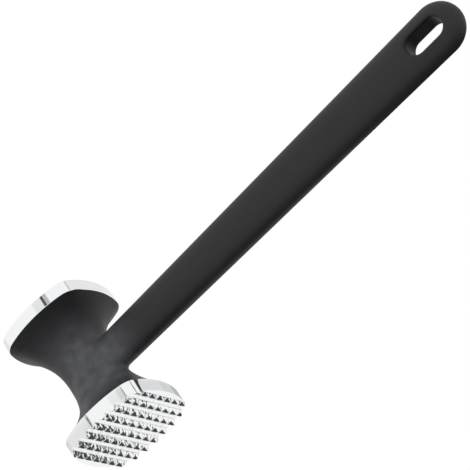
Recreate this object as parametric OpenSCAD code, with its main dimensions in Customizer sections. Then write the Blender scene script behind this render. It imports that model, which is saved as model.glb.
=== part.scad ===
// Two-faced meat mallet: chrome-plated toothed and smooth striking plates on a cast
// core, a soft moulded skin over core and handle, and a hanging slot at the handle's end.
// Origin: centre of the smooth striking face. +Z: towards the toothed face. +X: along
// the handle. Everything is in millimetres.

/* [Striking plates] */
// Width across the middle of two opposite sides
face_w = 59; // [50:0.5:72]
// Radius of the outward bow of each side
side_bow_r = 60; // [45:1:120]
// Radius of the four corners
corner_r = 11.5; // [6:0.5:15]
// Height of the smooth plate
smooth_h = 8; // [6.5:0.5:12]
// Height of the toothed plate, up to the tooth tips
toothed_h = 9.6; // [8.5:0.1:14]
// Bevel round the smooth striking face
face_bevel = 0.8; // [0.3:0.1:1.5]

/* [Teeth] */
// Distance from tooth to tooth, both ways
tooth_pitch = 7; // [5:0.25:9]
// Depth of the wide grooves between the rows of teeth
row_depth = 2.5; // [1:0.1:3]
// Width of the flat floor of those grooves
row_floor_w = 2.0; // [0.4:0.1:3]
// Depth of the step outside the outermost rows
edge_depth = 1.5; // [0.6:0.1:2.4]
// Depth of the notches between the teeth of a row
notch_depth = 1.4; // [0.6:0.1:2.5]
// Width of the flat left on each tooth's tip
tip_w = 0.5; // [0.2:0.1:1.5]

/* [Waist] */
// Length of the soft waist between the two plates
waist_len = 64; // [50:1:90]
// Width of the neck along the handle
neck_w = 32.4; // [24:0.2:45]
// Thickness of the neck across the handle
neck_t = 15.6; // [14:0.2:24]
// How late the waist flares out: higher stays slim for longer
flare_power = 2.4; // [1.8:0.1:3.5]
// Step from the plate's edge in to the soft skin
skin_step = 0.25; // [0.1:0.05:0.6]

/* [Handle] */
// Distance from the head's axis to the handle's tip
handle_reach = 272.5; // [200:0.5:340]
// Handle width at the head's axis
handle_w_root = 22; // [18:0.5:30]
// Handle width where the round end starts
handle_w_end = 29.8; // [24:0.2:36]
// Handle thickness
handle_t = 15; // [13:0.5:22]
// Squareness of the handle's section, 2 is an ellipse
section_power = 2.3; // [2:0.1:4]
// Thickness of the soft skin
skin_t = 2.2; // [1.5:0.1:3]

/* [Hanging slot] */
// Overall length of the slot
slot_len = 23; // [14:0.5:30]
// Width of the slot
slot_w = 11.6; // [6:0.2:14]
// Wall left between the slot and the handle's tip
slot_wall = 9.8; // [7:0.2:16]

/* [Tang and pins] */
// Length of the steel tang
tang_len = 126; // [80:1:160]
// Width of the tang
tang_w = 12; // [8:0.5:15]
// Thickness of the tang
tang_t = 4; // [2.5:0.5:5]
// How far the tang passes the head's axis
tang_back = 10; // [6:0.5:11]
// Diameter of the pin through core and tang
head_pin_d = 4; // [3:0.5:5]
// Distance from the head's axis to that pin
head_pin_x = 5; // [0:0.5:8]
// Diameter of the pin through carrier and tang
handle_pin_d = 3; // [2:0.5:4]
// Distance from that pin to the tang's free end
handle_pin_inset = 14; // [6:1:30]
// How far that pin's ends stay below the carrier's surface
handle_pin_sink = 0.3; // [0.1:0.1:1]

/* [Plate screws] */
// Distance from the head's axis to each screw, along both sides
screw_offset = 13; // [11:0.5:15]
// Screw diameter
screw_d = 4; // [3:0.5:5]
// Screw head diameter
screw_head_d = 7; // [6:0.5:8]
// Screw head height
screw_head_h = 2.2; // [1.6:0.1:2.4]
// Core left under each screw head
screw_seat = 3; // [2.5:0.1:4]
// How deep a screw reaches into its plate
screw_reach = 5; // [4:0.1:6]
// Lock washer thickness
washer_h = 0.8; // [0.5:0.1:1]
// Locating boss on the back of each plate, diameter
boss_d = 18; // [12:0.5:20]
// Locating boss on the back of each plate, height
boss_h = 2.5; // [1.5:0.1:3.5]

/* [Fits] */
// Radial clearance round screws, pins and bosses
fit_gap = 0.1; // [0.05:0.01:0.2]
// Radial clearance of the wells over the screw heads
well_gap = 0.2; // [0.1:0.05:0.5]
// Clearance at the tang's sides and ends
tang_gap = 0.1; // [0.05:0.01:0.3]

/* [Hidden] */
$fn = 64;
eps = 0.01;
over = 1;                // how far a cutter reaches past what it cuts
RING = 72;               // points round a waist section
WAIST_STEPS = 20;        // sections along the waist
HANDLE_RING = 40;        // points round a handle section
HANDLE_STEPS = 8;        // sections along the straight handle
END_STEPS = 9;           // sections round the handle's end
END_TURN = 89;           // degrees of that end that the sections cover
BOW_SIDES = 180;         // sides of the circles that bow the plates

face_r = face_w / 2;
waist_z0 = smooth_h;
waist_z1 = smooth_h + waist_len;
head_mid = smooth_h + waist_len / 2;
top_z = waist_z1 + toothed_h;
groove_top_w = tooth_pitch - tip_w;
last_groove = floor(face_r / tooth_pitch);
edge_floor_w = groove_top_w - (groove_top_w - row_floor_w) * edge_depth / row_depth;

// Corner circle: inside the bowed sides, touching two of them
bow_shift = side_bow_r - face_r;
corner_c = (-bow_shift + sqrt(2 * pow(side_bow_r - corner_r, 2) - bow_shift * bow_shift)) / 2;
tangent_a = atan2(corner_c, corner_c + bow_shift);
tangent_p = [side_bow_r * cos(tangent_a) - bow_shift, side_bow_r * sin(tangent_a)];
tangent_dir = atan2(tangent_p[1], tangent_p[0]);

// Handle: the straight taper runs to end_x, where the round end starts
end_r = handle_w_end / 2;
end_x = handle_reach - end_r;
slot_r = slot_w / 2;
slot_x = handle_reach - slot_wall - slot_len / 2;
slot_half = slot_len / 2 - slot_r;

handle_pin_x = tang_len - tang_back - handle_pin_inset;
screw_head_z = screw_seat + washer_h + screw_head_h;

// ---- Outline and surfaces -------------------------------------------------------

// Distance from the head's axis to the plate's outline, at angle a
function outline_r(a) =
    let (w = ((a + 45) % 90 + 90) % 90 - 45, q = abs(w))
    q < tangent_dir
        ? sqrt(pow(side_bow_r, 2) - pow(bow_shift * sin(q), 2)) - bow_shift * cos(q)
        : corner_c * (cos(q) + sin(q))
            + sqrt(pow(corner_r, 2) - pow(corner_c * (cos(q) - sin(q)), 2));

// Point of the waist's section at angle a, flare g (0 neck, 1 plate), set in by inset
function waist_point(a, g, inset) =
    let (p = [neck_w / 2 * cos(a) * (1 - g) + (outline_r(a) - skin_step) * cos(a) * g,
              neck_t / 2 * sin(a) * (1 - g) + (outline_r(a) - skin_step) * sin(a) * g],
         d = norm(p))
    p * (d - inset) / d;

function waist_ring(z, inset) =
    let (g = pow(abs(z - head_mid) / (waist_len / 2), flare_power))
    [for (i = [0 : RING - 1])
        let (p = waist_point(360 * i / RING, g, inset)) [p[0], p[1], z]];

function half_w(x) =
    x < end_x ? (handle_w_root + (handle_w_end - handle_w_root) * x / end_x) / 2
              : sqrt(max(0, end_r * end_r - pow(x - end_x, 2)));

// Half thickness of the handle at x and at height z off its middle
function half_t(x, z, w, r, t) =
    let (s = x < end_x ? abs(z) / w : norm([x - end_x, z]) / r)
    t * pow(max(0, 1 - pow(min(s, 1), section_power)), 1 / section_power);

// One handle section at x: the skin's outside for inset 0, the carrier's for skin_t
function handle_ring(x, inset) =
    let (r = end_r - inset,
         w = x < end_x ? half_w(x) - inset : sqrt(max(eps, r * r - pow(x - end_x, 2))),
         t = handle_t / 2 - inset)
    [for (i = [0 : HANDLE_RING - 1])
        let (a = 360 * i / HANDLE_RING, z = w * cos(a),
             y = abs(sin(a)) < eps ? 0 : half_t(x, z, w, r, t))
        [x, sin(a) < 0 ? y : -y, head_mid + z]];

// ---- Shared shapes --------------------------------------------------------------

// Closed skin over a list of rings that all have the same number of points
module loft(rings) {
    n = len(rings[0]);
    m = len(rings);
    pts = [for (r = rings) each r];
    sides = [for (j = [0 : m - 2], i = [0 : n - 1])
        let (k = (i + 1) % n, low = j * n, up = low + n)
        each [[low + i, up + k, low + k], [low + i, up + i, up + k]]];
    first = [[for (i = [0 : n - 1]) i]];
    last = [[for (i = [n - 1 : -1 : 0]) (m - 1) * n + i]];
    polyhedron(points = pts, faces = concat(sides, first, last));
}

module outline() {
    cut = (tangent_p[0] + tangent_p[1]) / sqrt(2);
    intersection() {
        translate([-bow_shift, 0]) circle(r = side_bow_r, $fn = BOW_SIDES);
        translate([bow_shift, 0]) circle(r = side_bow_r, $fn = BOW_SIDES);
        translate([0, -bow_shift]) circle(r = side_bow_r, $fn = BOW_SIDES);
        translate([0, bow_shift]) circle(r = side_bow_r, $fn = BOW_SIDES);
        rotate(45) square(2 * cut, center = true);
    }
    for (sx = [-1, 1], sy = [-1, 1])
        translate([sx * corner_c, sy * corner_c]) circle(r = corner_r);
}

module waist_solid(inset) {
    loft([for (j = [0 : WAIST_STEPS])
        waist_ring(waist_z0 + waist_len * j / WAIST_STEPS, inset)]);
}

module handle_solid(inset) {
    r = end_r - inset;
    straight = [for (j = [0 : HANDLE_STEPS])
        handle_ring(min(end_x * j / HANDLE_STEPS, end_x - eps), inset)];
    rounded = [for (j = [1 : END_STEPS])
        handle_ring(end_x + r * sin(END_TURN * j / END_STEPS), inset)];
    loft(concat(straight, rounded));
}

module slot_cut(grow) {
    translate([slot_x, 0, head_mid]) rotate([90, 0, 0]) {
        for (s = [-1, 1]) translate([s * slot_half, 0, 0])
            cylinder(r = slot_r + grow, h = 2 * handle_t, center = true);
        cube([2 * slot_half, 2 * (slot_r + grow), 2 * handle_t], center = true);
    }
}

// Places its children at the four screws, at the plate's back face, +Z into the plate
module at_screws(side) {
    for (sx = [-1, 1], sy = [-1, 1])
        translate([sx * screw_offset, sy * screw_offset, side > 0 ? waist_z1 : waist_z0])
            mirror([0, 0, side > 0 ? 0 : 1]) children();
}

module screw_holes(side, gap) {
    at_screws(side) cylinder(d = screw_d + 2 * gap, h = screw_reach + gap);
}

module tang_bar(gap) {
    translate([-tang_back - gap, -tang_t / 2 - gap, head_mid - tang_w / 2 - gap])
        cube([tang_len + 2 * gap, tang_t + 2 * gap, tang_w + 2 * gap]);
}

module cross_pin(x, d, h) {
    translate([x, 0, head_mid]) rotate([90, 0, 0]) cylinder(d = d, h = h, center = true);
}

// Wells over the screw heads, up to the seats
module head_wells(side, gap, depth) {
    at_screws(side) translate([0, 0, -depth])
        cylinder(d = screw_head_d + 2 * gap, h = depth - screw_seat);
}

// ---- Striking plates ------------------------------------------------------------

// One groove along Y, centred on x = 0, from the tips down; its +X side is moved out by wider
module groove(depth, floor_width, wider = 0) {
    half_top = groove_top_w / 2;
    half_floor = floor_width / 2;
    rotate([90, 0, 0]) linear_extrude(2 * face_w, center = true)
        polygon([[-half_top, 0], [-half_top, over], [half_top + wider, over],
                 [half_top + wider, 0], [half_floor + wider, -depth], [-half_floor, -depth]]);
}

module toothed_plate() {
    rows = ceil(face_w / tooth_pitch / 2) + 1;
    color([0.86, 0.87, 0.88]) difference() {
        union() {
            translate([0, 0, waist_z1]) linear_extrude(toothed_h) outline();
            translate([0, 0, waist_z1 - boss_h]) cylinder(d = boss_d, h = boss_h + over);
        }
        for (i = [1 - last_groove : last_groove - 1])
            translate([i * tooth_pitch, 0, top_z]) groove(row_depth, row_floor_w);
        for (s = [0, 1]) mirror([s, 0, 0])
            translate([last_groove * tooth_pitch, 0, top_z])
                groove(edge_depth, edge_floor_w, tooth_pitch);
        for (i = [-rows : rows])
            translate([0, (i + 0.5) * tooth_pitch, top_z]) rotate(90)
                groove(notch_depth, eps);
        screw_holes(1, 0);
    }
}

module smooth_plate() {
    color([0.84, 0.85, 0.86]) difference() {
        union() {
            translate([0, 0, face_bevel]) linear_extrude(smooth_h - face_bevel) outline();
            linear_extrude(smooth_h) scale((face_r - face_bevel) / face_r) outline();
            translate([0, 0, smooth_h - over]) cylinder(d = boss_d, h = boss_h + over);
        }
        screw_holes(-1, 0);
    }
}

module plate_screws() {
    color([0.62, 0.63, 0.65]) for (side = [-1, 1]) at_screws(side) {
        translate([0, 0, -screw_head_z]) cylinder(d = screw_d, h = screw_head_z + screw_reach);
        translate([0, 0, -screw_head_z]) cylinder(d = screw_head_d, h = screw_head_h);
    }
}

module lock_washers() {
    color([0.5, 0.5, 0.52]) for (side = [-1, 1]) at_screws(side)
        translate([0, 0, -screw_seat - washer_h]) difference() {
            cylinder(d = screw_head_d, h = washer_h);
            translate([0, 0, -over])
                cylinder(d = screw_d + 2 * fit_gap, h = washer_h + 2 * over);
        }
}

// ---- Core, tang and handle ------------------------------------------------------

module head_core() {
    socket_h = boss_h + fit_gap + over;
    color([0.55, 0.56, 0.58]) difference() {
        waist_solid(skin_t);
        for (side = [-1, 1]) {
            at_screws(side) translate([0, 0, -screw_seat - over])
                cylinder(d = screw_d + 2 * fit_gap, h = screw_seat + 2 * over);
            head_wells(side, well_gap, (waist_len / 2 + screw_seat) / 2);
        }
        for (z = [waist_z0 - over, waist_z1 + over - socket_h])
            translate([0, 0, z]) cylinder(d = boss_d + 2 * fit_gap, h = socket_h);
        tang_bar(tang_gap);
        cross_pin(head_pin_x, head_pin_d, 2 * neck_t);
    }
}

module handle_tang() {
    color([0.6, 0.61, 0.63]) difference() {
        tang_bar(0);
        cross_pin(head_pin_x, head_pin_d, 2 * tang_t);
        cross_pin(handle_pin_x, handle_pin_d, 2 * tang_t);
    }
}

module head_pin() {
    side = neck_t / 2 - skin_t;
    half = side * sqrt(1 - pow((head_pin_x + head_pin_d / 2) / (neck_w / 2 - skin_t), 2));
    color([0.7, 0.7, 0.72]) cross_pin(head_pin_x, head_pin_d, 2 * half);
}

module handle_pin() {
    color([0.7, 0.7, 0.72])
        cross_pin(handle_pin_x, handle_pin_d, handle_t - 2 * skin_t - 2 * handle_pin_sink);
}

module handle_carrier() {
    color([0.25, 0.26, 0.28]) difference() {
        handle_solid(skin_t);
        waist_solid(skin_t);
        slot_cut(skin_t);
        tang_bar(tang_gap);
        cross_pin(handle_pin_x, handle_pin_d, 2 * handle_t);
    }
}

module soft_grip() {
    color([0.13, 0.13, 0.14]) difference() {
        union() {
            waist_solid(0);
            handle_solid(0);
        }
        waist_solid(skin_t);
        difference() {
            handle_solid(skin_t);
            slot_cut(skin_t);
        }
        slot_cut(0);
        for (side = [-1, 1]) head_wells(side, fit_gap, screw_head_z + fit_gap);
    }
}

toothed_plate();
smooth_plate();
head_core();
plate_screws();
lock_washers();
handle_tang();
head_pin();
handle_pin();
handle_carrier();
soft_grip();
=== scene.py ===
"""Looks of a two-faced meat mallet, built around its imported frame.

The mallet stands on its smooth striking face. Everything is worked out in millimetres and
written to the meshes in metres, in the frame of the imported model: the origin is the centre of
the smooth face, Z runs to the toothed face and X along the handle.
"""
import logging
import math
from dataclasses import dataclass, field
from enum import Enum
from typing import Any, Callable

import bmesh
import bpy
import numpy as np
from mathutils import Matrix, Vector


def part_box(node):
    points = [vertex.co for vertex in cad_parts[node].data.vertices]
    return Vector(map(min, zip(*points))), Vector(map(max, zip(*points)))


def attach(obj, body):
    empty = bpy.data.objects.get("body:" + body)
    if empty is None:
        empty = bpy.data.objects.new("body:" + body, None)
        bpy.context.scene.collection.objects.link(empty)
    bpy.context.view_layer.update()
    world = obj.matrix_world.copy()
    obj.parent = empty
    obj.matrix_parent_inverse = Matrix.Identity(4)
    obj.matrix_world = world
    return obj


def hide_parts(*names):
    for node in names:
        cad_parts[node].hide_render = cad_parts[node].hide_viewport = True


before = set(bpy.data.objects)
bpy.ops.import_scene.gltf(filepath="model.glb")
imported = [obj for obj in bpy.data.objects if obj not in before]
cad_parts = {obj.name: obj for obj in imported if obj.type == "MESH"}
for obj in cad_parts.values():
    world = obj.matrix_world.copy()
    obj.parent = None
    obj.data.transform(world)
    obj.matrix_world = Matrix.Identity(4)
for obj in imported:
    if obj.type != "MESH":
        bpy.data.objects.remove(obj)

LOG = logging.getLogger("mallet")
MM = 0.001
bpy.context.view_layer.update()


# ---- Small tools ------------------------------------------------------------------------


def linear(code: str) -> tuple[float, float, float, float]:
    """Turns an sRGB hex colour into linear RGBA.

    Args:
        code: Six hex digits, with or without a leading "#".

    Returns:
        The colour as linear red, green, blue and an alpha of 1.
    """
    channels = [int(code.lstrip("#")[i:i + 2], 16) / 255 for i in (0, 2, 4)]
    red, green, blue = (c / 12.92 if c <= 0.04045 else ((c + 0.055) / 1.055) ** 2.4
                        for c in channels)
    return red, green, blue, 1.0


def add(tree: bpy.types.NodeTree, kind: str, settings: dict[str | int, Any] | None = None,
        links: dict[str | int, Any] | None = None) -> bpy.types.Node:
    """Adds a node, with its settings and links.

    Args:
        tree: The node tree that gets the node.
        kind: The node's type name.
        settings: Attribute names of the node, or input names or numbers, with their values.
        links: Input names or numbers, each with the output socket that feeds it.

    Returns:
        The new node.
    """
    node = tree.nodes.new(kind)
    for key, value in (settings or {}).items():
        if isinstance(key, int) or key in node.inputs:
            node.inputs[key].default_value = value
        else:
            setattr(node, key, value)
    for key, source in (links or {}).items():
        tree.links.new(source, node.inputs[key])
    return node


def new_material(name: str) -> tuple[bpy.types.Material, bpy.types.NodeTree]:
    """Makes an empty node material.

    Args:
        name: The material's name.

    Returns:
        The material and its node tree.
    """
    material = bpy.data.materials.new(name)
    material.use_nodes = True
    material.node_tree.nodes.clear()
    return material, material.node_tree


def as_object(name: str, points: np.ndarray, faces: list[Any]) -> bpy.types.Object:
    """Makes an object in the scene from points and faces, with all its faces turned outward.

    Args:
        name: The object's name.
        points: One row for each point, in millimetres.
        faces: Point numbers of each face.

    Returns:
        The new object, still in millimetres.
    """
    mesh = bpy.data.meshes.new(name)
    mesh.from_pydata([tuple(p) for p in points], [], [tuple(int(i) for i in f) for f in faces])
    work = bmesh.new()
    work.from_mesh(mesh)
    bmesh.ops.recalc_face_normals(work, faces=work.faces)
    work.to_mesh(mesh)
    work.free()
    piece = bpy.data.objects.new(name, mesh)
    bpy.context.scene.collection.objects.link(piece)
    return piece


def loft(rings: list[np.ndarray]) -> tuple[np.ndarray, list[Any]]:
    """Joins rings of equally many points into a closed skin with flat ends.

    Args:
        rings: Rings of points, one row for each point.

    Returns:
        The points and the faces.
    """
    count = len(rings[0])
    faces: list[Any] = []
    for j in range(len(rings) - 1):
        for i in range(count):
            k = (i + 1) % count
            faces.append((j * count + i, j * count + k, (j + 1) * count + k, (j + 1) * count + i))
    faces.append(tuple(range(count - 1, -1, -1)))
    faces.append(tuple((len(rings) - 1) * count + i for i in range(count)))
    return np.concatenate(rings), faces


def to_metres(piece: bpy.types.Object) -> None:
    """Scales a finished mesh from millimetres to metres."""
    piece.data.transform(Matrix.Scale(MM, 4))


def apply_modifiers(piece: bpy.types.Object) -> None:
    """Puts the result of an object's modifiers into its mesh."""
    bpy.context.view_layer.update()
    result = piece.evaluated_get(bpy.context.evaluated_depsgraph_get())
    mesh = bpy.data.meshes.new_from_object(result)
    piece.modifiers.clear()
    piece.data = mesh


class Cut(Enum):
    """What a tool body does to the body it meets."""

    JOIN = "UNION"
    CARVE = "DIFFERENCE"


def combine(body: bpy.types.Object, tool: bpy.types.Object, how: Cut) -> None:
    """Joins or carves a body with a tool body, which is then removed.

    Args:
        body: The object that keeps the result.
        tool: The object that is joined or taken away.
        how: Join or carve.
    """
    modifier = body.modifiers.new("combine", "BOOLEAN")
    modifier.operation = how.value
    modifier.solver = "MANIFOLD"
    modifier.object = tool
    apply_modifiers(body)
    bpy.data.objects.remove(tool)


def merged(parts: list[bpy.types.Object]) -> bpy.types.Object:
    """Puts the meshes of several objects that stay apart into the first one."""
    work = bmesh.new()
    for part in parts:
        work.from_mesh(part.data)
    work.to_mesh(parts[0].data)
    work.free()
    for part in parts[1:]:
        bpy.data.objects.remove(part)
    return parts[0]


def soften(piece: bpy.types.Object, crease: float) -> None:
    """Shades a piece smooth, with sharp edges where two faces meet steeply.

    Args:
        piece: The object to shade.
        crease: The angle in degrees from which an edge stays sharp.
    """
    piece.data.shade_smooth()
    piece.data.set_sharp_from_angle(angle=math.radians(crease))
    flats = piece.modifiers.new("flats", "WEIGHTED_NORMAL")
    flats.keep_sharp = True
    flats.weight = 100


def peg(name: str, diameter: float, low: float, high: float, x: float, y: float,
        sides: int = 48) -> bpy.types.Object:
    """Makes an upright round peg.

    Args:
        name: The object's name.
        diameter: Its diameter.
        low: Height of its lower end.
        high: Height of its upper end.
        x: Place of its axis along X.
        y: Place of its axis along Y.
        sides: Number of flat sides that stand for the round one.

    Returns:
        The peg, in millimetres.
    """
    turn = np.linspace(0, 2 * math.pi, sides, endpoint=False)
    rings = [np.stack([x + diameter / 2 * np.cos(turn), y + diameter / 2 * np.sin(turn),
                       np.full(sides, z)], 1) for z in (low, high)]
    return as_object(name, *loft(rings))


# ---- Finishes ---------------------------------------------------------------------------


@dataclass(frozen=True)
class PolishedChrome:
    """Bright chromium over nickel on a zinc casting, buffed before plating.

    It mirrors the studio almost whole. The buffing leaves faint lines along the rim, which
    blur the mirror a little across them.
    """

    name: str = "chromium_plated_buffed"
    colour: str = "#F1F2F3"
    roughness: float = 0.07
    line_mm: float = 0.45       # real buffing lines are finer; drawn as coarse as they show
    line: float = 0.25          # how strongly those lines show
    wave_mm: float = 9.0        # size of the casting's gentle waves
    wave_depth: float = 0.025   # their height in millimetres, on faces that look up or down

    def material(self) -> bpy.types.Material:
        """Builds the material."""
        material, tree = new_material(self.name)
        place = add(tree, "ShaderNodeTexCoord").outputs["Object"]
        stretch = add(tree, "ShaderNodeMapping",
                      {"Scale": (12.0, 12.0, 1 / (self.line_mm * MM))}, {"Vector": place})
        lines = add(tree, "ShaderNodeTexNoise", {"Scale": 1.0, "Detail": 3.0},
                    {"Vector": stretch.outputs[0]})
        waves = add(tree, "ShaderNodeTexNoise", {"Scale": 1 / (self.wave_mm * MM), "Detail": 1.0},
                    {"Vector": place})
        gloss = add(tree, "ShaderNodeMapRange",
                    {"From Min": 0.3, "From Max": 0.7, "To Min": self.roughness * 0.7,
                     "To Max": self.roughness * 1.5}, {"Value": lines.outputs["Fac"]})
        fine = add(tree, "ShaderNodeBump", {"Strength": self.line, "Distance": 0.02 * MM},
                   {"Height": lines.outputs["Fac"]})
        facing = add(tree, "ShaderNodeTexCoord").outputs["Normal"]
        upward = add(tree, "ShaderNodeSeparateXYZ", None, {0: facing}).outputs["Z"]
        flat = add(tree, "ShaderNodeMath", {"operation": "ABSOLUTE"}, {0: upward})
        slow = add(tree, "ShaderNodeBump", {"Distance": self.wave_depth * MM},
                   {"Height": waves.outputs["Fac"], "Normal": fine.outputs[0],
                    "Strength": flat.outputs[0]})
        shader = add(tree, "ShaderNodeBsdfPrincipled",
                     {"Base Color": linear(self.colour), "Metallic": 1.0},
                     {"Roughness": gloss.outputs[0], "Normal": slow.outputs[0]})
        add(tree, "ShaderNodeOutputMaterial", None, {"Surface": shader.outputs[0]})
        return material


@dataclass(frozen=True)
class MouldedElastomer:
    """Black thermoplastic elastomer, moulded over the core in a spark-eroded tool.

    It is matte and nearly black, with a fine even grain and a faint cloudiness, and it
    catches a soft pale sheen where it turns away. Its colour also holds a painted patch of
    light in the waist.
    """

    name: str = "thermoplastic_elastomer_moulded"
    dark: str = "#1A1B1D"
    pale: str = "#212224"
    painted_light: str = "#646569"      # painted light: a pale patch in the waist, standing in for light that falls there
    # Centre of that painted patch of light, and the distances at which it is full and gone.
    painted_light_at: tuple[float, float, float] = (4.0, 8.0, 42.0)
    painted_light_mm: tuple[float, float] = (8.0, 38.0)
    roughness: float = 0.55
    grain_mm: float = 0.5       # the tool's own grain is nearer 0.1; drawn as coarse as it shows
    cloud_mm: float = 7.0

    def material(self) -> bpy.types.Material:
        """Builds the material."""
        material, tree = new_material(self.name)
        place = add(tree, "ShaderNodeTexCoord").outputs["Object"]
        cloud = add(tree, "ShaderNodeTexNoise", {"Scale": 1 / (self.cloud_mm * MM), "Detail": 4.0},
                    {"Vector": place})
        grain = add(tree, "ShaderNodeTexNoise", {"Scale": 1 / (self.grain_mm * MM), "Detail": 2.0},
                    {"Vector": place})
        tint = add(tree, "ShaderNodeMix",
                   {"data_type": "RGBA", 6: linear(self.dark), 7: linear(self.pale)},
                   {0: cloud.outputs["Fac"]})
        # Painted light: the colour turns paler towards a point in the waist, a patch that stands in
        # for light falling there; the skin has no such pale patch of its own.
        away = add(tree, "ShaderNodeVectorMath",
                   {"operation": "DISTANCE", 1: [v * MM for v in self.painted_light_at]}, {0: place})
        near = add(tree, "ShaderNodeMapRange",
                   {"interpolation_type": "SMOOTHSTEP", "From Min": self.painted_light_mm[1] * MM,
                    "From Max": self.painted_light_mm[0] * MM}, {"Value": away.outputs["Value"]})
        share = add(tree, "ShaderNodeMath", {"operation": "MULTIPLY"},
                    {0: near.outputs[0], 1: cloud.outputs["Fac"]})
        tint = add(tree, "ShaderNodeMix", {"data_type": "RGBA", 7: linear(self.painted_light)},
                   {0: share.outputs[0], 6: tint.outputs[2]})
        gloss = add(tree, "ShaderNodeMapRange",
                    {"From Min": 0.3, "From Max": 0.7, "To Min": self.roughness - 0.05,
                     "To Max": self.roughness + 0.07}, {"Value": grain.outputs["Fac"]})
        bump = add(tree, "ShaderNodeBump", {"Strength": 0.35, "Distance": 0.05 * MM},
                   {"Height": grain.outputs["Fac"]})
        shader = add(tree, "ShaderNodeBsdfPrincipled",
                     {"Specular IOR Level": 0.35, "IOR": 1.5},
                     {"Base Color": tint.outputs[2], "Roughness": gloss.outputs[0],
                      "Normal": bump.outputs[0]})
        add(tree, "ShaderNodeOutputMaterial", None, {"Surface": shader.outputs[0]})
        return material


@dataclass(frozen=True)
class PlainMetal:
    """A bare or plainly plated metal inside the mallet, with the marks of how it was made."""

    name: str
    dark: str
    pale: str
    roughness: float
    mark_mm: tuple[float, float, float]   # size of the marks along X, Y and Z
    depth_mm: float

    def material(self) -> bpy.types.Material:
        """Builds the material."""
        material, tree = new_material(self.name)
        place = add(tree, "ShaderNodeTexCoord").outputs["Object"]
        stretch = add(tree, "ShaderNodeMapping",
                      {"Scale": tuple(1 / (size * MM) for size in self.mark_mm)},
                      {"Vector": place})
        marks = add(tree, "ShaderNodeTexNoise", {"Scale": 1.0, "Detail": 4.0},
                    {"Vector": stretch.outputs[0]})
        tint = add(tree, "ShaderNodeMix",
                   {"data_type": "RGBA", 6: linear(self.dark), 7: linear(self.pale)},
                   {0: marks.outputs["Fac"]})
        gloss = add(tree, "ShaderNodeMapRange",
                    {"To Min": self.roughness * 0.8, "To Max": self.roughness * 1.2},
                    {"Value": marks.outputs["Fac"]})
        bump = add(tree, "ShaderNodeBump", {"Strength": 0.3, "Distance": self.depth_mm * MM},
                   {"Height": marks.outputs["Fac"]})
        shader = add(tree, "ShaderNodeBsdfPrincipled", {"Metallic": 1.0},
                     {"Base Color": tint.outputs[2], "Roughness": gloss.outputs[0],
                      "Normal": bump.outputs[0]})
        add(tree, "ShaderNodeOutputMaterial", None, {"Surface": shader.outputs[0]})
        return material


@dataclass(frozen=True)
class GlassFilledNylon:
    """Injection-moulded glass-filled nylon: dark grey, with pale fibre flecks and a dull skin."""

    name: str = "glass_filled_nylon_moulded"
    dark: str = "#33353A"
    pale: str = "#4A4D53"
    roughness: float = 0.6
    fleck_mm: float = 1.2

    def material(self) -> bpy.types.Material:
        """Builds the material."""
        material, tree = new_material(self.name)
        place = add(tree, "ShaderNodeTexCoord").outputs["Object"]
        flecks = add(tree, "ShaderNodeTexVoronoi", {"Scale": 1 / (self.fleck_mm * MM)},
                     {"Vector": place})
        tint = add(tree, "ShaderNodeMix",
                   {"data_type": "RGBA", 6: linear(self.pale), 7: linear(self.dark)},
                   {0: flecks.outputs["Distance"]})
        bump = add(tree, "ShaderNodeBump", {"Strength": 0.2, "Distance": 0.03 * MM},
                   {"Height": flecks.outputs["Distance"]})
        shader = add(tree, "ShaderNodeBsdfPrincipled", {"Roughness": self.roughness, "IOR": 1.53},
                     {"Base Color": tint.outputs[2], "Normal": bump.outputs[0]})
        add(tree, "ShaderNodeOutputMaterial", None, {"Surface": shader.outputs[0]})
        return material


@dataclass(frozen=True)
class LightTable:
    """Opal acrylic studio table, lit from inside: it glows white and still takes a soft shadow."""

    name: str = "opal_acrylic_light_table"
    colour: str = "#FAFAFA"
    glow: float = 0.86          # share of the surface's white that comes from inside
    strength: float = 1.10

    def material(self) -> bpy.types.Material:
        """Builds the material."""
        material, tree = new_material(self.name)
        sheet = add(tree, "ShaderNodeBsdfDiffuse", {"Color": linear(self.colour)})
        light = add(tree, "ShaderNodeEmission",
                    {"Color": (1, 1, 1, 1), "Strength": self.strength})
        mix = add(tree, "ShaderNodeMixShader", {"Fac": self.glow},
                  {1: sheet.outputs[0], 2: light.outputs[0]})
        add(tree, "ShaderNodeOutputMaterial", None, {"Surface": mix.outputs[0]})
        return material


@dataclass(frozen=True)
class BlackNet:
    """Black net on a studio flag: it gives the chrome something dark to mirror."""

    density: float              # 1 is solid black cloth, less is an open net

    def material(self) -> bpy.types.Material:
        """Builds the material."""
        material, tree = new_material(f"black_net_{round(self.density * 100)}")
        cloth = add(tree, "ShaderNodeBsdfDiffuse", {"Color": linear("#0A0A0B")})
        gap = add(tree, "ShaderNodeBsdfTransparent")
        mix = add(tree, "ShaderNodeMixShader", {"Fac": self.density},
                  {1: gap.outputs[0], 2: cloth.outputs[0]})
        add(tree, "ShaderNodeOutputMaterial", None, {"Surface": mix.outputs[0]})
        return material


# ---- Shapes that several pieces share -----------------------------------------------------


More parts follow.
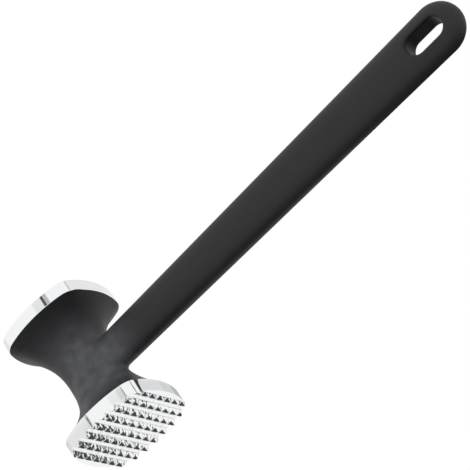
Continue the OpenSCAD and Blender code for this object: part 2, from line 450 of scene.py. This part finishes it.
@dataclass(frozen=True)
class FaceOutline:
    """Outline of both striking plates: four bowed sides and four round corners."""

    width: float = 59.0
    bow_radius: float = 60.0
    corner_radius: float = 11.5
    side_steps: int = 40
    corner_steps: int = 22

    @property
    def shift(self) -> float:
        """Distance from the middle to the centre of a side's bow."""
        return self.bow_radius - self.width / 2

    @property
    def corner(self) -> float:
        """Place of a corner's centre along X and along Y."""
        gap = self.bow_radius - self.corner_radius
        return (math.sqrt(2 * gap ** 2 - self.shift ** 2) - self.shift) / 2

    @property
    def tangent(self) -> float:
        """Direction of the outward normal where a side meets a corner, in radians."""
        return math.atan2(self.corner, self.corner + self.shift)

    def radius(self, angle: np.ndarray) -> np.ndarray:
        """Distance from the middle to the outline.

        Args:
            angle: Directions from the middle, in radians.

        Returns:
            The distance in each direction.
        """
        q = np.abs((angle + math.pi / 4) % (math.pi / 2) - math.pi / 4)
        meet = math.atan2(self.bow_radius * math.sin(self.tangent),
                          self.bow_radius * math.cos(self.tangent) - self.shift)
        side = (np.sqrt(self.bow_radius ** 2 - (self.shift * np.sin(q)) ** 2)
                - self.shift * np.cos(q))
        reach = self.corner * (np.cos(q) - np.sin(q))
        corner = (self.corner * (np.cos(q) + np.sin(q))
                  + np.sqrt(np.maximum(self.corner_radius ** 2 - reach ** 2, 0)))
        return np.where(q < meet, side, corner)

    def ring(self, z: float, inset: float) -> np.ndarray:
        """One ring of points at height z, set in from the outline by inset."""
        points = []
        for quarter in range(4):
            turn = quarter * math.pi / 2
            for i in range(self.side_steps):
                a = -self.tangent + 2 * self.tangent * i / self.side_steps
                radius = self.bow_radius - inset
                points.append((turn, radius * math.cos(a) - self.shift, radius * math.sin(a)))
            for i in range(self.corner_steps):
                a = self.tangent + (math.pi / 2 - 2 * self.tangent) * i / self.corner_steps
                radius = self.corner_radius - inset
                points.append((turn, self.corner + radius * math.cos(a),
                               self.corner + radius * math.sin(a)))
        return np.array([(x * math.cos(t) - y * math.sin(t), x * math.sin(t) + y * math.cos(t), z)
                         for t, x, y in points])


@dataclass(frozen=True)
class ScrewPattern:
    """The four screws that hold each plate, and the plate's locating boss."""

    offset: float = 13.0
    diameter: float = 4.0
    reach: float = 5.0
    boss_diameter: float = 18.0
    boss_height: float = 2.5

    def places(self) -> list[tuple[float, float]]:
        """Place of each screw's axis."""
        return [(sx * self.offset, sy * self.offset) for sx in (-1, 1) for sy in (-1, 1)]


def rounded(corners: list[tuple[float, float]], cut: float,
            steps: int) -> list[tuple[float, float]]:
    """Rounds the inner corners of an open line.

    Args:
        corners: The line's corners.
        cut: How far from each corner the round starts.
        steps: How many pieces make up each round.

    Returns:
        The rounded line, without its first and last corner.
    """
    line: list[tuple[float, float]] = []
    for before, here, after in zip(corners, corners[1:], corners[2:]):
        b, h, a = Vector(before), Vector(here), Vector(after)
        start, end = h + (b - h).normalized() * cut, h + (a - h).normalized() * cut
        for i in range(steps + 1):
            s = i / steps
            point = start * (1 - s) ** 2 + h * 2 * s * (1 - s) + end * s ** 2
            line.append((point.x, point.y))
    return line


# ---- Striking plates ----------------------------------------------------------------------


@dataclass
class StrikingPlate:
    """One plated cast plate: a rim with its outline, a back with boss and screw holes."""

    name: str
    node: str
    back: float                 # height of the back face
    face: float                 # height of the striking face
    finish: PolishedChrome
    outline: FaceOutline = field(default_factory=FaceOutline)
    screws: ScrewPattern = field(default_factory=ScrewPattern)
    back_break: float = 0.35    # small round on the edge towards the soft skin
    face_round: float = 1.2     # round on the edge of the striking face

    def rim(self) -> bpy.types.Object:
        """Lofts the plate's rim with a round on both edges."""
        up = 1 if self.face > self.back else -1
        rings = []
        for height, radius, first in ((self.back, self.back_break, True),
                                      (self.face, self.face_round, False)):
            arcs = []
            for i in range(7):
                a = math.pi / 2 * i / 6
                drop = radius * (1 - math.sin(a))
                arcs.append(self.outline.ring(height + (up if first else -up) * drop,
                                              radius * (1 - math.cos(a))))
            rings += arcs[::-1] if first else arcs
        return as_object(self.name, *loft(rings))

    def fit_back(self, body: bpy.types.Object) -> None:
        """Adds the locating boss and the screw holes to the back."""
        up = 1 if self.face > self.back else -1
        low, high = sorted((self.back - up * self.screws.boss_height, self.back + up * 1.0))
        combine(body, peg("boss", self.screws.boss_diameter, low, high, 0, 0, 64), Cut.JOIN)
        low, high = sorted((self.back - up * 1.0, self.back + up * self.screws.reach))
        holes = [peg("hole", self.screws.diameter, low, high, x, y)
                 for x, y in self.screws.places()]
        combine(body, merged(holes), Cut.CARVE)

    def shape_face(self, body: bpy.types.Object) -> None:
        """Leaves the striking face smooth."""

    def build(self) -> bpy.types.Object:
        """Builds, dresses and places the plate."""
        body = self.rim()
        self.fit_back(body)
        self.shape_face(body)
        to_metres(body)
        soften(body, 30)
        body.data.materials.clear()
        body.data.materials.append(self.finish.material())
        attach(body, "root")
        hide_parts(self.node)
        return body


@dataclass
class ToothedPlate(StrikingPlate):
    """The plate with rows of pointed teeth, left between two sets of crossing grooves."""

    pitch: float = 7.0
    row_depth: float = 2.5
    row_floor: float = 2.0
    edge_depth: float = 1.5
    notch_depth: float = 1.4
    tip: float = 0.5
    soft: float = 0.3           # how far the plating rounds the teeth's edges

    def tool(self, line: list[tuple[float, float]], along_x: bool, place: float,
             flip: int = 1) -> bpy.types.Object:
        """Makes the tool for one groove.

        Args:
            line: The groove's section: place across it, and height from the teeth's tips.
            along_x: Whether the groove runs along X, and not along Y.
            place: Where the section starts from on the other axis.
            flip: 1, or -1 to turn the section round.

        Returns:
            The tool, which carves the groove down from the teeth's tips.
        """
        line = line + [(line[-1][0], 3.0), (line[0][0], 3.0)]
        rings = []
        for end in (-self.outline.width, self.outline.width):
            rings.append(np.array([(end, place + flip * a, self.face + h) if along_x
                                   else (place + flip * a, end, self.face + h)
                                   for a, h in line]))
        return as_object("groove", *loft(rings))

    def section(self, depth: float, floor: float, wider: float = 0.0) -> list[tuple[float, float]]:
        """Section of a groove, with its edges rounded.

        Args:
            depth: Depth of the groove.
            floor: Width of its flat floor.
            wider: How far its far side is moved out.

        Returns:
            Places across the groove, each with its height from the teeth's tips.
        """
        top = (self.pitch - self.tip) / 2
        bottom = [(-floor / 2, -depth), (floor / 2 + wider, -depth)] if floor else [(0.0, -depth)]
        return rounded([(-self.pitch / 2, 0.0), (-top, 0.0), *bottom, (top + wider, 0.0),
                        (self.pitch / 2 + wider, 0.0)], self.soft, 4)

    def shape_face(self, body: bpy.types.Object) -> None:
        """Carves both sets of grooves, and the steps outside the outermost rows."""
        last = math.floor(self.outline.width / 2 / self.pitch)
        wide = self.section(self.row_depth, self.row_floor)
        tools = [self.tool(wide, False, i * self.pitch) for i in range(1 - last, last)]
        top = self.pitch - self.tip
        floor = top - (top - self.row_floor) * self.edge_depth / self.row_depth
        step = self.section(self.edge_depth, floor, self.pitch)
        tools += [self.tool(step, False, side * last * self.pitch, side) for side in (-1, 1)]
        combine(body, merged(tools), Cut.CARVE)
        notch = self.section(self.notch_depth, 0.0)
        tools = [self.tool(notch, True, (i + 0.5) * self.pitch) for i in range(-last - 2, last + 2)]
        combine(body, merged(tools), Cut.CARVE)


# ---- Soft grip ----------------------------------------------------------------------------


def steepness(value: Callable[[np.ndarray], np.ndarray], points: np.ndarray) -> np.ndarray:
    """Slope of a function of place, along X, Y and Z.

    Args:
        value: Gives one number for each point.
        points: One row for each point.

    Returns:
        One row of three slopes for each point.
    """
    step = 0.02
    return np.stack([(value(points + step * axis) - value(points - step * axis)) / (2 * step)
                     for axis in np.eye(3)], 1)


def true_to_size(value: Callable[[np.ndarray], np.ndarray], points: np.ndarray) -> np.ndarray:
    """Scales a function that is zero on a surface to roughly the distance from it."""
    here, step = value(points), 0.02
    slope = np.sqrt(sum(((value(points + step * axis) - here) / step) ** 2 for axis in np.eye(3)))
    return here / np.maximum(slope, 1e-3)


def soft_least(a: np.ndarray, b: np.ndarray, reach: float | np.ndarray) -> np.ndarray:
    """Lesser of two distances, with a fillet of about that reach where they meet."""
    share = np.clip(0.5 + 0.5 * (b - a) / reach, 0, 1)
    return b * (1 - share) + a * share - reach * share * (1 - share)


@dataclass(frozen=True)
class Waist:
    """The soft waist between the plates, slim in the middle and flared to both outlines."""

    low: float
    length: float = 64.0
    width: float = 32.4
    thickness: float = 15.6
    power: float = 2.4
    step: float = 0.25
    outline: FaceOutline = field(default_factory=FaceOutline)

    @property
    def middle(self) -> float:
        """Height of the waist's middle."""
        return self.low + self.length / 2

    def outside(self, points: np.ndarray, inset: float) -> np.ndarray:
        """How far points lie outside the waist, measured across it.

        Args:
            points: One row for each point.
            inset: How far the surface is set in.

        Returns:
            One distance for each point, below zero inside.
        """
        x, y, z = points.T
        flare = (np.abs(z - self.middle) / (self.length / 2)) ** self.power
        angle = np.arctan2(y / self.thickness, x / self.width)
        for _ in range(4):
            plate = (self.outline.radius(angle) - self.step) * flare
            wide = self.width / 2 * (1 - flare) + plate
            thick = self.thickness / 2 * (1 - flare) + plate
            angle = np.arctan2(y / thick, x / wide)
        return np.hypot(x, y) - np.hypot(wide * np.cos(angle), thick * np.sin(angle)) + inset


@dataclass(frozen=True)
class HandleShape:
    """The handle: flat-sided oval sections that widen towards a round end."""

    middle: float
    reach: float = 272.5
    root_width: float = 22.0
    end_width: float = 29.8
    thickness: float = 15.0
    power: float = 2.3

    @property
    def end_x(self) -> float:
        """Where the round end starts."""
        return self.reach - self.end_width / 2

    def outside(self, points: np.ndarray, inset: float) -> np.ndarray:
        """How far points lie outside the handle, as a share of its thickness.

        Args:
            points: One row for each point.
            inset: How far the surface is set in.

        Returns:
            One number for each point, zero on the surface and below zero inside.
        """
        x, y, z = points[:, 0], points[:, 1], points[:, 2] - self.middle
        half = (self.root_width + (self.end_width - self.root_width) * x / self.end_x) / 2 - inset
        across = np.where(x < self.end_x, np.abs(z) / np.maximum(half, 1),
                          np.hypot(x - self.end_x, z) / (self.end_width / 2 - inset))
        deep = np.abs(y) / (self.thickness / 2 - inset)
        return (across ** self.power + deep ** self.power) ** (1 / self.power) - 1


@dataclass(frozen=True)
class SlotShape:
    """The hanging slot through the handle's end."""

    middle: float
    centre: float = 251.2
    half_straight: float = 5.7
    radius: float = 5.8

    def outside(self, points: np.ndarray, grow: float) -> np.ndarray:
        """How far points lie outside the slot's opening, grown by grow."""
        along = np.maximum(np.abs(points[:, 0] - self.centre) - self.half_straight, 0)
        return np.hypot(along, points[:, 2] - self.middle) - self.radius - grow


@dataclass
class SoftGrip:
    """The soft skin moulded over core and handle, in one piece from plate to slot."""

    low: float                  # where the skin meets the smooth plate
    high: float                 # where the skin meets the toothed plate
    skin: float = 2.2
    fillet: float = 3.0
    fade: float = 15.0          # how far from the head's axis the fillet has its full size
    under: float = 0.45         # share of it that is left on the smooth plate's side
    under_to: float = 12.0      # distance from the handle's middle at which that is reached
    lip: float = 2.2
    cell: float = 0.8
    settle_rounds: int = 2      # how often the net's points are moved onto the surface
    margin: float = 3.5         # room round the head in the net's grid
    near_y: float = 9.5         # beyond the head, the handle keeps within this across it
    near_z: float = 17.0        # and within this along the head's axis
    head_reach: float = 48.0    # beyond this, along X, there is only the handle
    finish: MouldedElastomer = field(default_factory=MouldedElastomer)

    def __post_init__(self) -> None:
        """Sets up the shapes that the skin follows."""
        self.waist = Waist(self.low, self.high - self.low)
        self.handle = HandleShape(self.waist.middle)
        self.slot = SlotShape(self.waist.middle)

    def distance(self, points: np.ndarray) -> np.ndarray:
        """Distance from the skin, below zero in its material.

        Args:
            points: One row for each point, in millimetres.

        Returns:
            One distance for each point.
        """
        head = points[:, 0] < self.head_reach

        def sides(inset: float) -> tuple[np.ndarray, np.ndarray]:
            waist = np.full(len(points), self.head_reach)
            waist[head] = true_to_size(lambda p: self.waist.outside(p, inset), points[head])
            handle = true_to_size(lambda p: self.handle.outside(p, inset), points)
            return waist, np.maximum(handle, -points[:, 0])

        waist, handle = sides(0)
        side = np.interp(points[:, 2] - self.waist.middle, (-self.under_to, self.under_to),
                         (self.under, 1))
        blend = self.fillet * side * np.clip(points[:, 0] / self.fade, 0.05, 1)
        outer = soft_least(waist, handle, blend)
        outer = -soft_least(-outer, self.slot.outside(points, 0), self.lip)
        waist, handle = sides(self.skin)
        inner = np.minimum(waist, np.maximum(handle, -self.slot.outside(points, self.skin)))
        return np.maximum(outer, -inner)

    def net(self) -> tuple[np.ndarray, np.ndarray]:
        """Finds the skin's surface on a grid and settles each point on it.

        Returns:
            Points in millimetres, and four point numbers for each face.
        """
        half = self.waist.outline.width / 2 + self.margin
        low = np.array([-half, -half, self.low - 2 * self.cell])
        high = np.array([self.handle.reach + 2, half, self.high + 2 * self.cell])
        shape = np.ceil((high - low) / self.cell).astype(int) + 1
        axes = [low[i] + self.cell * np.arange(shape[i]) for i in range(3)]
        x, y, z = np.meshgrid(*axes, indexing="ij")
        near = (x < self.head_reach) | ((np.abs(y) < self.near_y)
                                        & (np.abs(z - self.waist.middle) < self.near_z))
        values = np.full(x.shape, self.cell)
        values[near] = self.distance(np.stack([x[near], y[near], z[near]], 1))
        points, faces = surface_net(values)
        points = low + self.cell * points
        for _ in range(self.settle_rounds):
            slope = steepness(self.distance, points)
            size = np.maximum((slope ** 2).sum(1, keepdims=True), 0.05)
            move = self.distance(points)[:, None] * slope / size
            points = points - np.clip(move, -self.cell, self.cell)
        return points, faces

    def trim(self, piece: bpy.types.Object) -> None:
        """Cuts the skin flat where it meets the plates."""
        work = bmesh.new()
        work.from_mesh(piece.data)
        for height, side in ((self.low, -1), (self.high, 1)):
            parts = bmesh.ops.bisect_plane(
                work, geom=work.verts[:] + work.edges[:] + work.faces[:], dist=1e-4,
                plane_co=(0, 0, height), plane_no=(0, 0, side), clear_outer=True)["geom_cut"]
            rim = [e for e in parts if isinstance(e, bmesh.types.BMEdge)]
            for edge in rim:
                edge.smooth = False
            bmesh.ops.triangle_fill(work, edges=rim, use_beauty=True, normal=(0, 0, side))
        bmesh.ops.recalc_face_normals(work, faces=work.faces)
        for face in work.faces:
            face.smooth = True
        work.to_mesh(piece.data)
        work.free()

    def build(self) -> bpy.types.Object:
        """Builds, dresses and places the skin."""
        piece = as_object("grip_skin", *self.net())
        self.trim(piece)
        to_metres(piece)
        piece.data.materials.append(self.finish.material())
        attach(piece, "root")
        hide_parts("soft_grip")
        return piece


def surface_net(values: np.ndarray) -> tuple[np.ndarray, np.ndarray]:
    """Makes a net of four-sided faces where a grid of values passes through zero.

    Args:
        values: Values on a grid, below zero inside the material.

    Returns:
        Points in grid steps, and four point numbers for each face.
    """
    inside = values < 0
    count = sum(inside[i:inside.shape[0] - 1 + i, j:inside.shape[1] - 1 + j,
                       k:inside.shape[2] - 1 + k].astype(int)
                for i in (0, 1) for j in (0, 1) for k in (0, 1))
    active = (count > 0) & (count < 8)
    cells = np.argwhere(active)
    number = np.full(active.shape, -1)
    number[active] = np.arange(len(cells))
    total, hits = np.zeros((len(cells), 3)), np.zeros((len(cells), 1))
    steps = np.eye(3, dtype=int)
    faces = []
    for axis in range(3):
        u, v = steps[(axis + 1) % 3], steps[(axis + 2) % 3]
        for corner in (0 * u, u, v, u + v):
            start = cells + corner
            a, b = values[tuple(start.T)], values[tuple((start + steps[axis]).T)]
            crosses = (a < 0) != (b < 0)
            share = a[crosses] / (a[crosses] - b[crosses])
            total[crosses] += start[crosses] + share[:, None] * steps[axis]
            hits[crosses] += 1
        first = np.take(inside, range(inside.shape[axis] - 1), axis)
        second = np.take(inside, range(1, inside.shape[axis]), axis)
        spots = np.argwhere(first != second)
        room = np.array(active.shape)
        keep = np.all((spots - u - v >= 0) & (spots < room), axis=1)
        spots = spots[keep]
        ring = np.stack([number[tuple((spots - back).T)] for back in (0 * u, u, u + v, v)], 1)
        flip = first[tuple(spots.T)]
        ring[flip] = ring[flip][:, ::-1]
        faces.append(ring[(ring >= 0).all(1)])
    return total / hits, np.concatenate(faces)


# ---- Inner pieces -------------------------------------------------------------------------


@dataclass
class InnerPieces:
    """The pieces inside the mallet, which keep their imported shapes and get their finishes."""

    def finishes(self) -> dict[str, PlainMetal | GlassFilledNylon]:
        """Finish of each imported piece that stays."""
        cast = PlainMetal("zinc_alloy_die_cast", "#8A8D90", "#A3A6A8", 0.45, (2, 2, 2), 0.05)
        plated = PlainMetal("steel_zinc_plated", "#B4B8BC", "#C8CBCE", 0.3, (1, 1, 0.3), 0.02)
        spring = PlainMetal("spring_steel_oiled", "#5E6165", "#74777B", 0.35, (0.6, 0.6, 0.6),
                            0.02)
        drawn = PlainMetal("steel_cold_drawn", "#9A9DA1", "#B3B6BA", 0.32, (12, 0.4, 0.4), 0.03)
        pin = PlainMetal("steel_ground_pin", "#B9BCC0", "#CBCED1", 0.22, (0.3, 4, 0.3), 0.01)
        return {"head_core": cast, "plate_screws": plated, "lock_washers": spring,
                "handle_tang": drawn, "head_pin": pin, "handle_pin": pin,
                "handle_carrier": GlassFilledNylon()}

    def dress(self) -> list[str]:
        """Gives each piece its material, and returns their names."""
        made: dict[str, bpy.types.Material] = {}
        for node, finish in self.finishes().items():
            if finish.name not in made:
                made[finish.name] = finish.material()
            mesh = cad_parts[node].data
            mesh.materials.clear()
            mesh.materials.append(made[finish.name])
        return list(self.finishes())


# ---- Studio -------------------------------------------------------------------------------


@dataclass(frozen=True)
class RimFlag:
    """A flag on the table that a plate's rim mirrors to the camera, over part of the rim."""

    low: float                  # height of the rim's part, on the rim
    high: float
    start: float                # direction that the rim faces there, in degrees from X
    end: float
    density: float


# The toothed plate's rim comes first, then the smooth plate's. Where two flags meet, the line
# between them is an edge that the rim shows.
RIM_FLAGS = (
    RimFlag(72.0, 82.0, 3, 19, 0.24), RimFlag(72.0, 82.0, -8, 3, 0.32),
    RimFlag(72.0, 82.0, -60, -8, 0.5),
    RimFlag(72.0, 82.0, 38, 41, 0.75), RimFlag(72.0, 81.6, 67, 68.3, 0.85),
    RimFlag(72.0, 81.6, 68.3, 71, 0.5), RimFlag(72.0, 81.6, 71, 74, 0.3),
    RimFlag(72.0, 81.6, 74, 79, 0.12),
    RimFlag(72.0, 80.6, 93.0, 94.2, 0.9), RimFlag(80.0, 80.7, 94, 99, 0.9),
    RimFlag(80.0, 80.7, 99, 110, 0.5), RimFlag(72.0, 80.0, 94.2, 120, 0.16),
    RimFlag(72.0, 79.7, 120, 170, 0.24),
    RimFlag(0.6, 8.0, 38, 41, 0.5), RimFlag(0.6, 8.0, -40, 38, 0.12),
    RimFlag(0.6, 8.0, 77, 79, 0.45), RimFlag(0.6, 8.0, 79, 80.5, 0.9),
    RimFlag(0.6, 8.0, 80.5, 86, 0.14), RimFlag(0.6, 8.0, 120, 170, 0.15),
)


# Name, corners and density of the flags that stand behind the mallet: one darkens the handle's
# end, the other the teeth's flanks.
STANDING_FLAGS = (
    ("tip_flag", ((180.0, -75.0, 45.0), (330.0, -75.0, 45.0), (330.0, -75.0, 150.0),
                  (180.0, -75.0, 150.0)), 1.0),
    ("teeth_flag", ((90.0, -380.0, 224.0), (290.0, -262.0, 196.0), (290.0, -262.0, 250.0),
                    (90.0, -380.0, 270.0)), 0.95),
)


@dataclass
class Studio:
    """The light table, the soft surround, the flags and the camera."""

    table_size: float = 60.0                      # metres
    camera_at: tuple[float, float, float] = (385.7, 882.03, 570.61)
    camera_right: tuple[float, float, float] = (0.6855, -0.5206, 0.5090)
    camera_up: tuple[float, float, float] = (0.6802, 0.2083, -0.7029)
    lens: float = 157.9
    sensor: float = 36.0
    pale_until: float = 0.52    # height on the sky's unit sphere where it starts to darken
    dark_from: float = 0.86
    dark: float = 0.06

    def camera(self) -> None:
        """Places the camera."""
        data = bpy.data.cameras.new("camera")
        data.lens, data.sensor_width = self.lens, self.sensor
        data.clip_start, data.clip_end = 0.01, 60
        right, up = Vector(self.camera_right).normalized(), Vector(self.camera_up).normalized()
        back = right.cross(up).normalized()
        up = back.cross(right)
        turn = Matrix((right, up, back)).transposed().to_4x4()
        camera = bpy.data.objects.new("camera", data)
        camera.matrix_world = Matrix.Translation(Vector(self.camera_at) * MM) @ turn
        bpy.context.scene.collection.objects.link(camera)
        bpy.context.scene.camera = camera

    def table(self) -> None:
        """Lays the light table under the mallet."""
        half = self.table_size / 2 / MM
        table = as_object("light_table", np.array([(-half, -half, 0.0), (half, -half, 0.0),
                                                   (half, half, 0.0), (-half, half, 0.0)]),
                          [(0, 1, 2, 3)])
        to_metres(table)
        table.data.materials.append(LightTable().material())

    def flag(self, name: str, points: np.ndarray, faces: list[Any], density: float) -> None:
        """Hangs a flag that only mirrors see."""
        card = as_object(name, points, faces)
        to_metres(card)
        card.data.materials.append(BlackNet(density).material())
        for ray in ("camera", "diffuse", "transmission", "volume_scatter", "shadow"):
            setattr(card, f"visible_{ray}", False)

    def rim_flag(self, number: int, spot: RimFlag, outline: FaceOutline) -> None:
        """Lays a flag where a part of a rim mirrors the table to the camera.

        Args:
            number: The flag's number, which also sets how high it lies over the table.
            spot: The part of the rim, and the flag's density.
            outline: The outline of the rim.
        """
        eye, lift, steps = Vector(self.camera_at), 0.2 + 0.05 * number, 16
        points = []
        for i in range(steps + 1):
            face = math.radians(spot.start + (spot.end - spot.start) * i / steps)
            normal = Vector((math.cos(face), math.sin(face), 0))
            side = round(face / (math.pi / 2)) * math.pi / 2
            local = face - side
            if abs(local) < outline.tangent:
                x = outline.bow_radius * math.cos(local) - outline.shift
                y = outline.bow_radius * math.sin(local)
            else:
                x = outline.corner + outline.corner_radius * math.cos(local)
                y = math.copysign(outline.corner, local)
                y += outline.corner_radius * math.sin(local)
            foot = Matrix.Rotation(side, 3, "Z") @ Vector((x, y, 0))
            for height in (spot.low, spot.high):
                at = foot + Vector((0, 0, height))
                way = (at - eye).normalized().reflect(normal)
                points.append(at + way * ((lift - height) / way.z))
        faces = [(2 * i, 2 * i + 1, 2 * i + 3, 2 * i + 2) for i in range(steps)]
        self.flag(f"rim_flag_{number}", np.array(points), faces, spot.density)

    def flags(self) -> None:
        """Lays and hangs all the flags."""
        outline = FaceOutline()
        for number, spot in enumerate(RIM_FLAGS):
            self.rim_flag(number, spot, outline)
        for name, corners, density in STANDING_FLAGS:
            self.flag(name, np.array(corners), [(0, 1, 2, 3)], density)

    def surround(self) -> None:
        """Sets the world: white walls all round and a dark ceiling."""
        world = bpy.data.worlds.new("studio")
        bpy.context.scene.world = world
        world.use_nodes = True
        tree = world.node_tree
        tree.nodes.clear()
        way = add(tree, "ShaderNodeTexCoord").outputs["Generated"]
        height = add(tree, "ShaderNodeSeparateXYZ", None, {0: way}).outputs["Z"]
        level = add(tree, "ShaderNodeMapRange",
                    {"interpolation_type": "SMOOTHSTEP", "From Min": self.pale_until,
                     "From Max": self.dark_from, "To Min": 1.0, "To Max": self.dark},
                    {"Value": height}).outputs[0]
        rays = add(tree, "ShaderNodeLightPath").outputs["Is Camera Ray"]
        shown = add(tree, "ShaderNodeMix", {"data_type": "FLOAT", 3: 1.0}, {0: rays, 2: level})
        light = add(tree, "ShaderNodeBackground", {"Color": (1, 1, 1, 1)},
                    {"Strength": shown.outputs[0]})
        add(tree, "ShaderNodeOutputWorld", None, {"Surface": light.outputs[0]})

    def build(self) -> None:
        """Builds the whole studio."""
        self.camera()
        self.table()
        self.flags()
        self.surround()
        bpy.context.scene.view_settings.view_transform = "Standard"


# ---- Everything together ------------------------------------------------------------------


def main() -> None:
    """Builds the mallet and its studio in order."""
    logging.basicConfig(level=logging.INFO, format="%(name)s: %(message)s")
    toothed_low, toothed_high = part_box("toothed_plate")
    smooth_low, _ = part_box("smooth_plate")
    core_low, core_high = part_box("head_core")
    face_down, face_up = smooth_low.z / MM, toothed_high.z / MM
    chrome = PolishedChrome()
    smooth = StrikingPlate("plate_smooth", "smooth_plate", core_low.z / MM, face_down, chrome)
    wavy = PolishedChrome("chromium_plated_teeth", wave_mm=2.6, wave_depth=0.22)
    toothed = ToothedPlate("plate_toothed", "toothed_plate", core_high.z / MM, face_up, wavy,
                           face_round=0.3)
    for plate in (smooth, toothed):
        LOG.info("built %s", plate.build().name)
    grip = SoftGrip(core_low.z / MM, core_high.z / MM)
    LOG.info("built %s", grip.build().name)
    LOG.info("dressed %s", ", ".join(InnerPieces().dress()))
    Studio().build()
    LOG.info("built the studio")


if __name__ == "__main__":
    main()
